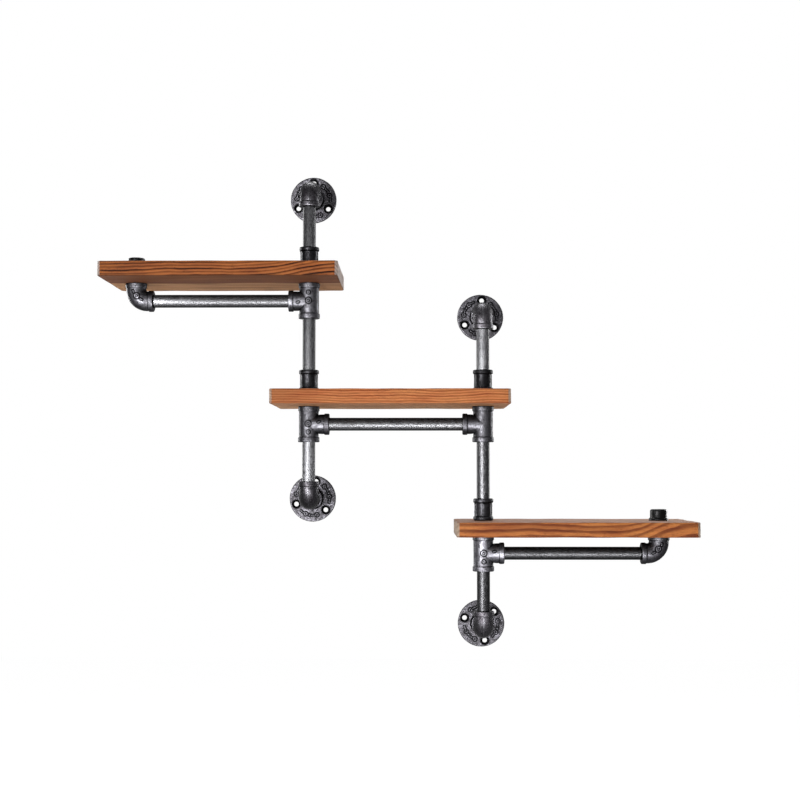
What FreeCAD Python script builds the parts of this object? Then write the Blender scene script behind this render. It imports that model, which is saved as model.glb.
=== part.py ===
# A wall-mounted shelving unit: three wooden boards step down from left to right on two
# uprights of half-inch pipe, and each outer board's free end stands on an arm of its own.
#
# Millimetres. +X is to the right, +Z is up, and the wall is the plane Y = 0 with the room
# at -Y. The origin is the centre of the upper left flange's back face.
#
# Every piece that screws together is a solid of its own. Cut threads are left out: a pipe
# end is a plain cylinder that stands in its socket with a small clearance.

import FreeCAD, Part
import os
from FreeCAD import Vector

# Layout of the whole unit
upright_pitch = 287.0      # from one upright or arm to the next
upper_rise = 204.0         # from the middle board's upper face to the top board's
lower_rise = 211.5         # from the bottom board's upper face to the middle board's
top_leg = 133.0            # from an upright's upper board top up to its wall elbow's axis
bottom_leg = 177.0         # from an upright's lower board top down to its wall elbow's axis
wall_distance = 100.0      # from the wall to the axes of the uprights and arms

# Boards
board_overhang = 48.5      # from a hole's axis to the board's end, the mean of both ends
top_board_shift = 4.0      # how far each board is off centre over its holes, towards +X
middle_board_shift = -8.0
bottom_board_shift = 2.0
board_depth = 200.0
board_thickness = 24.0
board_corner = 5.0         # chamfer on the four upright corners
board_hole_clearance = 0.85    # radial, round the nipple that passes through

# Pipe
pipe_radius = 10.65
pipe_wall = 2.75
pipe_end_chamfer = 0.8
thread_grip = 13.0         # length of pipe that stands in a socket
thread_clearance = 0.05    # radial
socket_spare = 1.0         # free depth behind a pipe's end

# Elbows and tees
fitting_wall = 5.5         # round a socket
band_wall = 6.9            # round a socket, at the raised band on each mouth
band_width = 8.0
band_round = 1.2
corner_room = 4.8          # from a socket's floor to the side of the socket that crosses it
passage_step = 1.7         # how much narrower than a socket the way between sockets is
elbow_throat = 2.8         # radius of the inside of an elbow's bend
branch_step = 0.65         # how much thinner than the run a tee's branch is
branch_extra = 4.5         # how much further than the run a tee's branch reaches
branch_blend = 3.5         # fillet where the branch leaves the run

# Couplings that stand on the boards
coupling_gap = 10.0        # between the two pipe ends inside
coupling_wall = 3.2
coupling_band_wall = 5.7
coupling_band_width = 7.0
coupling_rib_width = 3.0
coupling_rib_height = 0.8

# Caps
cap_wall = 3.2
cap_top = 4.5
cap_top_round = 3.0
cap_foot_wall = 5.2
cap_foot_height = 4.5
cap_foot_round = 1.2

# Wall flanges
flange_thickness = 5.5
flange_edge_round = 1.5
hub_wall = 6.3
hub_behind = 4.0           # free depth between the nipple's end and the wall
hub_foot_round = 3.0
hub_mouth_round = 1.2
hub_to_screw = 12.5        # from the hub's side to a screw hole's axis
rim_to_screw = 10.0        # from a screw hole's axis to the rim
screw_hole_radius = 4.0
screw_sink_radius = 7.3
screw_sink_depth = 2.4
screw_count = 3

# Angle of each flange's first hole from +X, anticlockwise as seen from the room
left_hole_turns = {"upper": 89.0, "lower": 79.0}
right_hole_turns = {"upper": 85.0, "lower": 42.0}

right = Vector(1, 0, 0)
left = Vector(-1, 0, 0)
up = Vector(0, 0, 1)
down = Vector(0, 0, -1)
to_wall = Vector(0, 1, 0)
to_room = Vector(0, -1, 0)

# Sizes that follow from the ones above
socket_radius = pipe_radius + thread_clearance
socket_depth = thread_grip + socket_spare
passage_radius = socket_radius - passage_step
fitting_radius = socket_radius + fitting_wall
band_radius = socket_radius + band_wall
fitting_reach = socket_depth + socket_radius + corner_room   # corner or centre to mouth
branch_reach = fitting_reach + branch_extra
elbow_bend = fitting_radius + elbow_throat                   # of the centre line
coupling_length = 2 * thread_grip + coupling_gap
flange_height = thread_grip + hub_behind
hub_radius = socket_radius + hub_wall
screw_circle_radius = hub_radius + hub_to_screw
flange_radius = screw_circle_radius + rim_to_screw
fitting_drop = board_thickness + fitting_reach               # board top to fitting centre
tee_foot_drop = fitting_drop + fitting_reach                 # board top to a tee's lower end

# Axes, and the heights of the boards' upper faces
left_x = 0.0
right_x = left_x + upright_pitch
left_arm_x = left_x - upright_pitch
right_arm_x = right_x + upright_pitch
top_board_z = -top_leg
middle_board_z = top_board_z - upper_rise
bottom_board_z = middle_board_z - lower_rise


def on_axis(x, z):
    """A point in the plane of the uprights."""
    return Vector(x, -wall_distance, z)


def cylinder(radius, length, start, direction):
    return Part.makeCylinder(radius, length, start, direction)


def circles(shape, radius, centre):
    """The circular edges of a shape that have this radius and centre."""
    found = []
    for edge in shape.Edges:
        if isinstance(edge.Curve, Part.Circle):
            in_place = edge.Curve.Center.distanceToPoint(centre) < 0.01
            if in_place and abs(edge.Curve.Radius - radius) < 0.01:
                found.append(edge)
    return found


def rounded_disc(radius, length, rounding, start, direction):
    """A short cylinder with both rims rounded."""
    disc = cylinder(radius, length, start, direction)
    rims = circles(disc, radius, start) + circles(disc, radius, start + direction * length)
    return disc.makeFillet(min(rounding, 0.45 * length), rims)


def band(radius, width, mouth, outward):
    """The raised ring that ends at a fitting's mouth."""
    return rounded_disc(radius, width, band_round, mouth, outward * -1)


def socket(mouth, outward):
    """What is bored out for the pipe that enters at a mouth."""
    return cylinder(socket_radius, socket_depth, mouth, outward * -1)


def pipe_between(mouth_a, mouth_b):
    """A pipe that stands thread_grip deep in the fittings at both mouths."""
    direction = (mouth_b - mouth_a).normalize()
    length = (mouth_b - mouth_a).Length + 2 * thread_grip
    start = mouth_a - direction * thread_grip
    outside = cylinder(pipe_radius, length, start, direction)
    rims = circles(outside, pipe_radius, start)
    rims += circles(outside, pipe_radius, start + direction * length)
    outside = outside.makeChamfer(min(pipe_end_chamfer, 0.8 * pipe_wall), rims)
    return outside.cut(cylinder(pipe_radius - pipe_wall, length, start, direction))


def bent_rod(radius, corner, first, second):
    """A round rod from one mouth of an elbow, round its corner, to the other."""
    straight = fitting_reach - elbow_bend
    start = corner + first * elbow_bend
    end = corner + second * elbow_bend
    section = Part.Face(Part.Wire(Part.makeCircle(radius, start, first)))
    bend = section.revolve(start + second * elbow_bend, second.cross(first), 90)
    legs = [cylinder(radius, straight, start, first), cylinder(radius, straight, end, second)]
    return bend.fuse(legs)


def elbow(corner, first, second):
    mouths = [(corner + side * fitting_reach, side) for side in (first, second)]
    bands = [band(band_radius, band_width, mouth, side) for mouth, side in mouths]
    sockets = [socket(mouth, side) for mouth, side in mouths]
    body = bent_rod(fitting_radius, corner, first, second).fuse(bands)
    return body.cut([bent_rod(passage_radius, corner, first, second)] + sockets)


def tee(centre, side):
    """An upright tee whose branch points along side."""
    branch_mouth = centre + side * branch_reach
    mouths = [(centre + way * fitting_reach, way) for way in (up, down)]
    mouths.append((branch_mouth, side))
    foot = centre + down * fitting_reach
    run = cylinder(fitting_radius, 2 * fitting_reach, foot, up)
    body = run.fuse(cylinder(fitting_radius - branch_step, branch_reach, centre, side))
    meeting = [edge for edge in body.Edges if isinstance(edge.Curve, Part.BSplineCurve)]
    body = body.makeFillet(branch_blend, meeting)
    bands = [band(band_radius, band_width, mouth, way) for mouth, way in mouths]
    sockets = [socket(mouth, way) for mouth, way in mouths]
    passages = [
        cylinder(passage_radius, 2 * fitting_reach, foot, up),
        cylinder(passage_radius, branch_reach, centre, side),
    ]
    return body.fuse(bands).cut(passages + sockets)


def coupling(foot):
    """A sleeve that joins two pipes in line, standing on a board."""
    outside_radius = socket_radius + coupling_wall
    rim_radius = socket_radius + coupling_band_wall
    body = cylinder(outside_radius, coupling_length, foot, up)
    bands = [
        band(rim_radius, coupling_band_width, foot, down),
        band(rim_radius, coupling_band_width, foot + up * coupling_length, up),
    ]
    rib_span = 2 * (outside_radius + coupling_rib_height)
    rib_corner = foot - Vector(rib_span / 2, coupling_rib_width / 2, 0)
    ribs = Part.makeBox(rib_span, coupling_rib_width, coupling_length, rib_corner)
    return body.fuse(bands + [ribs]).cut(cylinder(socket_radius, coupling_length, foot, up))


def cap(foot):
    """A closed cap, screwed down on to a board."""
    outside_radius = socket_radius + cap_wall
    height = socket_depth + cap_top
    body = cylinder(outside_radius, height, foot, up)
    body = body.makeFillet(cap_top_round, circles(body, outside_radius, foot + up * height))
    flare_radius = socket_radius + cap_foot_wall
    flare = rounded_disc(flare_radius, cap_foot_height, cap_foot_round, foot, up)
    return body.fuse(flare).cut(socket(foot, down))


def flange(centre, first_hole_turn):
    """A round wall flange with a hub that takes a pipe, and holes for the wall screws."""
    front = centre + to_room * flange_thickness
    mouth = centre + to_room * flange_height
    plate = cylinder(flange_radius, flange_thickness, centre, to_room)
    body = plate.fuse(cylinder(hub_radius, flange_height, centre, to_room))
    body = body.makeFillet(hub_foot_round, circles(body, hub_radius, front))
    body = body.makeFillet(flange_edge_round, circles(body, flange_radius, front))
    body = body.makeFillet(hub_mouth_round, circles(body, hub_radius, mouth))
    cuts = [cylinder(socket_radius, flange_height, centre, to_room)]
    for i in range(screw_count):
        turn = FreeCAD.Rotation(to_room, first_hole_turn + i * 360.0 / screw_count)
        hole = centre + turn.multVec(right) * screw_circle_radius
        cuts.append(cylinder(screw_hole_radius, flange_thickness, hole, to_room))
        sink = hole + to_room * (flange_thickness - screw_sink_depth)
        cuts.append(Part.makeCone(
            screw_hole_radius, screw_sink_radius, screw_sink_depth, sink, to_room))
    return body.cut(cuts)


def board(first_hole_x, top_z, shift):
    """A board with two holes one pitch apart."""
    length = upright_pitch + 2 * board_overhang
    start_x = first_hole_x - board_overhang + shift
    corner = Vector(start_x, -board_depth, top_z - board_thickness)
    plank = Part.makeBox(length, board_depth, board_thickness, corner)
    upright_edges = [edge for edge in plank.Edges if edge.BoundBox.ZLength > board_thickness / 2]
    plank = plank.makeChamfer(board_corner, upright_edges)
    hole_radius = pipe_radius + board_hole_clearance
    hole_xs = (first_hole_x, first_hole_x + upright_pitch)
    return plank.cut([cylinder(hole_radius, board_thickness, on_axis(x, top_z), down)
                      for x in hole_xs])


def board_nipple(x, top_z):
    """The short pipe through a board, from the fitting under it to the one on top."""
    return pipe_between(on_axis(x, top_z - board_thickness), on_axis(x, top_z))


def riser_pipe(x, bottom_z, top_z):
    return pipe_between(on_axis(x, bottom_z), on_axis(x, top_z))


def rail_pipe(start_x, end_x, board_z):
    """The level pipe under a board, between two mouths that face each other."""
    z = board_z - fitting_drop
    return pipe_between(on_axis(start_x, z), on_axis(end_x, z))


def wall_end(name, x, z, along_riser, first_hole_turn):
    """How an upright's end is held: an elbow, a nipple to the wall and a flange on it."""
    flange_centre = Vector(x, 0, z)
    elbow_mouth = on_axis(x, z) + to_wall * fitting_reach
    hub_mouth = flange_centre + to_room * flange_height
    return {
        "riser_elbow_" + name: elbow(on_axis(x, z), along_riser, to_wall),
        "wall_nipple_" + name: pipe_between(hub_mouth, elbow_mouth),
        "wall_flange_" + name: flange(flange_centre, first_hole_turn),
    }


def crossing(name, x, board_z, side):
    """Where an upright passes a board: a coupling on it, a nipple through it, a tee under it."""
    return {
        "coupling_" + name: coupling(on_axis(x, board_z)),
        "board_nipple_" + name: board_nipple(x, board_z),
        "tee_" + name: tee(on_axis(x, board_z - fitting_drop), side),
    }


def upright(name, x, upper_board_z, lower_board_z, hole_turns):
    """One upright with two boards on it. Its upper tee looks left and its lower one right."""
    top_z = upper_board_z + top_leg
    bottom_z = lower_board_z - bottom_leg
    pieces = {
        "riser_pipe_top_" + name: riser_pipe(
            x, upper_board_z + coupling_length, top_z - fitting_reach),
        "riser_pipe_middle_" + name: riser_pipe(
            x, lower_board_z + coupling_length, upper_board_z - tee_foot_drop),
        "riser_pipe_bottom_" + name: riser_pipe(
            x, bottom_z + fitting_reach, lower_board_z - tee_foot_drop),
    }
    pieces.update(wall_end("upper_" + name, x, top_z, down, hole_turns["upper"]))
    pieces.update(wall_end("lower_" + name, x, bottom_z, up, hole_turns["lower"]))
    pieces.update(crossing("upper_" + name, x, upper_board_z, left))
    pieces.update(crossing("lower_" + name, x, lower_board_z, right))
    return pieces


def arm(name, x, board_z, inward):
    """A board's free end: an elbow under it, a nipple through it and a cap on top."""
    return {
        "arm_elbow_" + name: elbow(on_axis(x, board_z - fitting_drop), up, inward),
        "board_nipple_arm_" + name: board_nipple(x, board_z),
        "cap_" + name: cap(on_axis(x, board_z)),
    }


parts = {
    "shelf_board_top": board(left_arm_x, top_board_z, top_board_shift),
    "shelf_board_middle": board(left_x, middle_board_z, middle_board_shift),
    "shelf_board_bottom": board(right_x, bottom_board_z, bottom_board_shift),
    "rail_pipe_top": rail_pipe(
        left_arm_x + fitting_reach, left_x - branch_reach, top_board_z),
    "rail_pipe_middle": rail_pipe(
        left_x + branch_reach, right_x - branch_reach, middle_board_z),
    "rail_pipe_bottom": rail_pipe(
        right_x + branch_reach, right_arm_x - fitting_reach, bottom_board_z),
}
parts.update(upright("left", left_x, top_board_z, middle_board_z, left_hole_turns))
parts.update(upright("right", right_x, middle_board_z, bottom_board_z, right_hole_turns))
parts.update(arm("top", left_arm_x, top_board_z, right))
parts.update(arm("bottom", right_arm_x, bottom_board_z, left))

os.makedirs("parts", exist_ok=True)
for name, shape in parts.items():
    shape.exportStep("parts/" + name + ".step")
    print(name, len(shape.Solids), "solid", round(shape.Volume), "mm3")
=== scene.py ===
# A pipe shelving unit: three boards on two stepped uprights of screwed iron pipe, held to a wall.
# Metres, +Z up, the wall is the plane Y = 0. Forms are shaped in millimetres and put in metres last.
import math
import bmesh
import bpy
from mathutils import Matrix, Vector, kdtree, noise


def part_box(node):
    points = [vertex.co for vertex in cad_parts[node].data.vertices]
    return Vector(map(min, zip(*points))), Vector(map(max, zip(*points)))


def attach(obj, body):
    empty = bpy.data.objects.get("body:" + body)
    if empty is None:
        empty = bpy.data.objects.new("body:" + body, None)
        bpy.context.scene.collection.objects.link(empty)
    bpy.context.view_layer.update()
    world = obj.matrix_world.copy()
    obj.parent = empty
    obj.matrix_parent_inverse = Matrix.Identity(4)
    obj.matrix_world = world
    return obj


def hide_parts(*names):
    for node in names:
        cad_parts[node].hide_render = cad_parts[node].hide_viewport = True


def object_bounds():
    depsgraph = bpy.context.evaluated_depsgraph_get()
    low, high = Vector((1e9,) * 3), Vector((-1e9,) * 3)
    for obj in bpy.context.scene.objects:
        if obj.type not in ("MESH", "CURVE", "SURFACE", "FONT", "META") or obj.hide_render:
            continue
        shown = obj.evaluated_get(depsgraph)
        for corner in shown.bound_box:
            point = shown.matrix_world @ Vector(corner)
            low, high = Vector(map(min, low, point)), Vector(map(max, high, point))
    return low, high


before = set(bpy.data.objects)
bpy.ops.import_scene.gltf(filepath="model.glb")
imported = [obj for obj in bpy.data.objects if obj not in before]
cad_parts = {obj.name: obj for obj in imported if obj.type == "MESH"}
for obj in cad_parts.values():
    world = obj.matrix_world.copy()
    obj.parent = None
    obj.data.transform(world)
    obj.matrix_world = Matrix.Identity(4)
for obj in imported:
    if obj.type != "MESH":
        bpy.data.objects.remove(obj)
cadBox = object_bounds()
print("frame:", len(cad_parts), "nodes")

mm = 0.001
right, left = Vector((1, 0, 0)), Vector((-1, 0, 0))
up, down = Vector((0, 0, 1)), Vector((0, 0, -1))
toWall, toRoom = Vector((0, 1, 0)), Vector((0, -1, 0))
levels = ("top", "middle", "bottom")
sides = ("left", "right")
crossings = [height + "_" + side for side in sides for height in ("upper", "lower")]


# ---- nodes and groups

def setInputs(tree, node, inputs):
    for socket, value in inputs.items():
        if isinstance(value, bpy.types.NodeSocket):
            tree.links.new(value, node.inputs[socket])
        else:
            node.inputs[socket].default_value = value


def addNode(tree, kind, inputs=None, **settings):
    made = tree.nodes.new("ShaderNode" + kind)
    for setting, value in settings.items():
        setattr(made, setting, value)
    setInputs(tree, made, inputs or {})
    return made


def calculate(tree, operation, *values):
    return addNode(tree, "Math", dict(enumerate(values)), operation=operation).outputs[0]


def times(tree, first, second):
    return calculate(tree, "MULTIPLY", first, second)


def scaled(tree, colour, amount):
    return addNode(tree, "VectorMath", {0: colour, "Scale": amount}, operation="SCALE").outputs[0]


def mixColours(tree, share, first, second):
    mixed = addNode(tree, "Mix", {0: share, 6: first, 7: second}, data_type="RGBA")
    return mixed.outputs[2]


def stored(tree, name, output="Fac"):
    # what a piece keeps in its vertices under this name
    return addNode(tree, "Attribute", attribute_name=name).outputs[output]


def spread(tree, value, low, high, toLow=0.0, toHigh=1.0):
    # carries low..high over to toLow..toHigh with soft ends
    ends = {"From Min": low, "From Max": high, "To Min": toLow, "To Max": toHigh}
    return addNode(tree, "MapRange", {"Value": value, **ends}, interpolation_type="SMOOTHSTEP").outputs[0]


def grainNoise(tree, place, scale, detail=2.0, roughness=0.5):
    values = {"Vector": place, "Scale": scale, "Detail": detail, "Roughness": roughness}
    return addNode(tree, "TexNoise", values).outputs[0]


def stretched(tree, place, scale, shift=(0, 0, 0)):
    return addNode(tree, "Mapping", {"Vector": place, "Location": shift, "Scale": scale}).outputs[0]


def newGroup(name, inputs, outputs):
    tree = bpy.data.node_groups.new(name, "ShaderNodeTree")
    for label, value in inputs.items():
        kind = "NodeSocketVector" if isinstance(value, tuple) else "NodeSocketFloat"
        tree.interface.new_socket(label, in_out="INPUT", socket_type=kind).default_value = value
    for label in outputs:
        tree.interface.new_socket(label, in_out="OUTPUT", socket_type="NodeSocketFloat")
    return tree, tree.nodes.new("NodeGroupInput").outputs, tree.nodes.new("NodeGroupOutput")


def useGroup(tree, group, inputs):
    return addNode(tree, "Group", inputs, node_tree=group).outputs


def newMaterial(name):
    material = bpy.data.materials.new(name)
    material.use_nodes = True
    tree = material.node_tree
    tree.nodes.clear()
    shader = addNode(tree, "BsdfPrincipled")
    addNode(tree, "OutputMaterial", {"Surface": shader.outputs[0]})
    return material, tree, shader


def backgroundRays(tree):
    # 1 where the camera, a reflection or glass looks straight at the surface or the world
    path = addNode(tree, "LightPath").outputs
    seen = calculate(tree, "MAXIMUM", path["Is Camera Ray"], path["Is Glossy Ray"])
    return calculate(tree, "MAXIMUM", seen, path["Is Transmission Ray"])


# ---- camera, world, lamps and floor

camera = {
    "place": (0.180, -2.500, -0.474),
    "lens": 65.6,                # mm, on a 36 mm sensor
    "picture": 800,              # pixels each way
    "levelPoint": (418, 475),    # the pixel that a level line square to the wall runs to
}

focalPixels = camera["lens"] / 36 * camera["picture"]
ahead = Vector((
    camera["picture"] / 2 - camera["levelPoint"][0],
    focalPixels,
    camera["levelPoint"][1] - camera["picture"] / 2,
))
cameraData = bpy.data.cameras.new("camera")
cameraData.lens = camera["lens"]
cameraObject = bpy.data.objects.new("camera", cameraData)
cameraObject.location = camera["place"]
cameraObject.rotation_euler = ahead.to_track_quat("-Z", "Y").to_euler()
bpy.context.scene.collection.objects.link(cameraObject)
bpy.context.scene.camera = cameraObject
bpy.context.scene.view_settings.view_transform = "Standard"

studio = {
    "ambient": 0.22,             # what the world gives to matt surfaces
    "floorDrop": 0.9,            # below the lowest piece
    "floorWidth": 14.0,
    "floorTone": 0.86,
    "floorGlow": 0.8,            # added to the floor where it is looked at
    "aim": (0.14, -0.10, -0.36),
}
lamps = {
    "keySoftbox": {"place": (-0.90, -2.60, -0.90), "width": 1.6, "height": 1.6, "power": 52},
    "rightFill": {"place": (2.40, -1.90, 0.10), "width": 1.0, "height": 1.4, "power": 10},
    "topSoftbox": {"place": (0.10, -0.80, 1.80), "width": 1.6, "height": 1.0, "power": 8},
    "backFill": {"place": (0.60, 2.60, 0.60), "width": 2.0, "height": 2.0, "power": 60},
}
strips = {                       # seen only in the metal: two from the front and three from behind
    "frontStrip": {"place": (-1.00, -2.70, -0.62), "width": 0.55, "height": 1.3, "power": 400},
    "lowStrip": {"place": (0.10, -2.20, -1.60), "width": 1.7, "height": 0.25, "power": 350},
    "backLeftStrip": {"place": (-2.30, 2.00, 0.00), "width": 0.5, "height": 1.6, "power": 220},
    "backRightStrip": {"place": (2.60, 2.00, 0.10), "width": 0.5, "height": 1.6, "power": 220},
    "topStrip": {"place": (0.10, 1.30, 2.00), "width": 1.8, "height": 0.3, "power": 160},
}

world = bpy.data.worlds.new("studioWorld")
bpy.context.scene.world = world
world.use_nodes = True
worldTree = world.node_tree
worldTree.nodes.clear()
plainLight = addNode(worldTree, "Background", {"Color": (1, 1, 1, 1), "Strength": studio["ambient"]})
whiteBack = addNode(worldTree, "Background", {"Color": (1, 1, 1, 1), "Strength": 1.0})
worldMix = addNode(worldTree, "MixShader",
                   {0: backgroundRays(worldTree), 1: plainLight.outputs[0], 2: whiteBack.outputs[0]})
addNode(worldTree, "OutputWorld", {0: worldMix.outputs[0]})

for name, lamp in [*lamps.items(), *strips.items()]:
    light = bpy.data.lights.new(name, "AREA")
    light.shape = "RECTANGLE"
    light.size, light.size_y = lamp["width"], lamp["height"]
    light.energy = lamp["power"]
    lampObject = bpy.data.objects.new(name, light)
    lampObject.location = lamp["place"]
    towards = Vector(studio["aim"]) - Vector(lamp["place"])
    lampObject.rotation_euler = towards.to_track_quat("-Z", "Y").to_euler()
    lampObject.visible_diffuse = name in lamps
    lampObject.visible_glossy = name in strips
    lampObject.visible_camera = False
    bpy.context.scene.collection.objects.link(lampObject)

floorMaterial = bpy.data.materials.new("paleFloor")
floorMaterial.use_nodes = True
floorTree = floorMaterial.node_tree
floorTree.nodes.clear()
floorMatt = addNode(floorTree, "BsdfDiffuse", {"Color": (studio["floorTone"],) * 3 + (1,)})
floorLift = times(floorTree, backgroundRays(floorTree), studio["floorGlow"])
floorGlow = addNode(floorTree, "Emission", {"Color": (1, 1, 1, 1), "Strength": floorLift})
floorSum = addNode(floorTree, "AddShader", {0: floorMatt.outputs[0], 1: floorGlow.outputs[0]})
addNode(floorTree, "OutputMaterial", {0: floorSum.outputs[0]})

floorForm = bmesh.new()
bmesh.ops.create_grid(floorForm, x_segments=1, y_segments=1, size=studio["floorWidth"] / 2)
floorPlace = Vector((studio["aim"][0], 0, cadBox[0][2] - studio["floorDrop"]))
bmesh.ops.translate(floorForm, verts=floorForm.verts, vec=floorPlace)
floorShape = bpy.data.meshes.new("floor")
floorForm.to_mesh(floorShape)
floorForm.free()
floorShape.materials.append(floorMaterial)
floor = bpy.data.objects.new("floor", floorShape)
bpy.context.scene.collection.objects.link(floor)
print("studio: camera,", len(lamps), "softboxes,", len(strips), "strips, world and floor")


# ---- shader groups that several finishes share

def buildCastGrain():
    # sand-cast skin: a pebbled height, bright specks where a grain stands up, pits and slow patches
    tree, given, out = newGroup("castGrain", {"Grain Size": 1.0}, ("Height", "Speck", "Pit", "Patch"))
    place = addNode(tree, "TexCoord").outputs["Object"]
    perMetre = calculate(tree, "DIVIDE", 1000.0, given["Grain Size"])
    coarse = grainNoise(tree, place, times(tree, perMetre, 0.55), 2.0)
    fine = grainNoise(tree, place, times(tree, perMetre, 1.3), 2.0, 0.6)
    height = calculate(tree, "ADD", times(tree, coarse, 0.6), times(tree, fine, 0.4))
    patch = grainNoise(tree, place, 90.0, 3.0)
    setInputs(tree, out, {
        "Height": height,
        "Speck": spread(tree, fine, 0.56, 0.68),
        "Pit": spread(tree, coarse, 0.34, 0.46, 1.0, 0.0),
        "Patch": spread(tree, patch, 0.35, 0.65),
    })
    return tree


def buildWearAndShadeRelief():
    # where handling has rubbed the crests, broken up by noise, and painted shade that darkens the hollows
    tree, given, out = newGroup("wearAndShadeRelief", {"Amount": 1.0, "Breakup Size": 2.0}, ("Rubbed", "Painted Shade"))
    crest, hollowShade = stored(tree, "crest"), stored(tree, "hollowShade")
    place = addNode(tree, "TexCoord").outputs["Object"]
    breakup = grainNoise(tree, place, calculate(tree, "DIVIDE", 1000.0, given["Breakup Size"]), 3.0, 0.6)
    rubbed = times(tree, spread(tree, crest, 0.10, 0.45), spread(tree, breakup, 0.3, 0.6))
    setInputs(tree, out, {
        "Rubbed": times(tree, rubbed, given["Amount"]),
        # painted shade: dark where the surface lies below its neighbours, round foundry marks and round
        # screw holes
        "Painted Shade": spread(tree, hollowShade, 0.05, 0.28),
    })
    return tree


def buildBoardGrain():
    # yearly rings round a pith that runs along the board, given in millimetres from its centre
    given = {
        "Place": (0.0, 0.0, 0.0),
        "Pith Y": 0.0, "Pith Z": -90.0,
        "Ring Width": 4.0,
        "Wander": 1.0,
        "Climb": 0.02,
        "Bend Start": 0.0, "Bend End": 1.0, "Bend Rise": 0.0,
    }
    tree, given, out = newGroup("boardGrain", given, ("Line", "Fibre", "Blush", "Dash", "Streak"))
    axis = addNode(tree, "SeparateXYZ", {0: given["Place"]}).outputs
    slow = grainNoise(tree, stretched(tree, given["Place"], (0.008, 0.02, 0.02)), 1.0, 2.0)
    quick = grainNoise(tree, stretched(tree, given["Place"], (0.035, 0.09, 0.09), (7, 3, 1)), 1.0, 2.0)
    quickSway = times(tree, calculate(tree, "SUBTRACT", quick, 0.5), 2.2)
    sway = calculate(tree, "MULTIPLY_ADD", calculate(tree, "SUBTRACT", slow, 0.5), 9.0, quickSway)
    sway = times(tree, sway, given["Wander"])
    bend = addNode(tree, "MapRange", {
        "Value": axis[0], "From Min": given["Bend Start"], "From Max": given["Bend End"],
        "To Min": 0.0, "To Max": given["Bend Rise"],
    }, interpolation_type="SMOOTHERSTEP").outputs[0]
    climb = calculate(tree, "MULTIPLY_ADD", axis[0], given["Climb"], bend)
    height = calculate(tree, "SUBTRACT", calculate(tree, "SUBTRACT", axis[2], given["Pith Z"]), climb)
    depth = calculate(tree, "SUBTRACT", axis[1], given["Pith Y"])
    squared = calculate(tree, "MULTIPLY_ADD", height, height, times(tree, depth, depth))
    radius = calculate(tree, "SQRT", squared)
    rings = calculate(tree, "DIVIDE", calculate(tree, "ADD", radius, sway), given["Ring Width"])
    ring = calculate(tree, "FRACT", rings)
    rise = spread(tree, ring, 0.25, 0.68)          # soft towards the late wood
    fall = spread(tree, ring, 0.86, 0.96, 1.0, 0.0)  # sharp back to the early wood
    year = addNode(tree, "TexWhiteNoise", {"W": calculate(tree, "FLOOR", rings)}, noise_dimensions="1D")
    yearly = spread(tree, year.outputs[0], 0.0, 0.7, 0.6, 1.0)
    fibre = grainNoise(tree, stretched(tree, given["Place"], (0.05, 1.5, 1.5)), 1.0, 4.0, 0.65)
    blush = grainNoise(tree, stretched(tree, given["Place"], (0.012, 0.05, 0.05), (3, 9, 4)), 1.0, 3.0)
    dash = grainNoise(tree, stretched(tree, given["Place"], (0.16, 0.9, 0.9), (1, 5, 8)), 1.0, 2.0)
    streak = grainNoise(tree, stretched(tree, given["Place"], (0.006, 0.06, 0.3), (2, 6, 5)), 1.0, 3.0, 0.6)
    setInputs(tree, out, {
        "Line": times(tree, times(tree, rise, fall), yearly),
        "Streak": spread(tree, streak, 0.38, 0.62),
        "Fibre": fibre,
        "Blush": spread(tree, blush, 0.35, 0.65),
        "Dash": spread(tree, dash, 0.60, 0.70),
    })
    return tree


castGrain = buildCastGrain()
wearAndShadeRelief = buildWearAndShadeRelief()
boardGrain = buildBoardGrain()
print("shader groups: castGrain, wearAndShadeRelief, boardGrain")


# ---- finishes

pipeFinish = {
    "steel": (0.30, 0.30, 0.306, 1),
    "millScale": (0.045, 0.043, 0.046, 1),
    "lacquer": (0.14, 0.14, 0.144, 1),   # smoked, so the metal darkens where it turns away
    "lacquerIor": 1.05, "lacquerRoughness": 0.3,
    "roughness": (0.22, 0.31),
    "acrossSpread": 1.0,                 # how far the lengthwise lines spread a highlight round the pipe
    "brushDepth": 0.000014,
}


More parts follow.
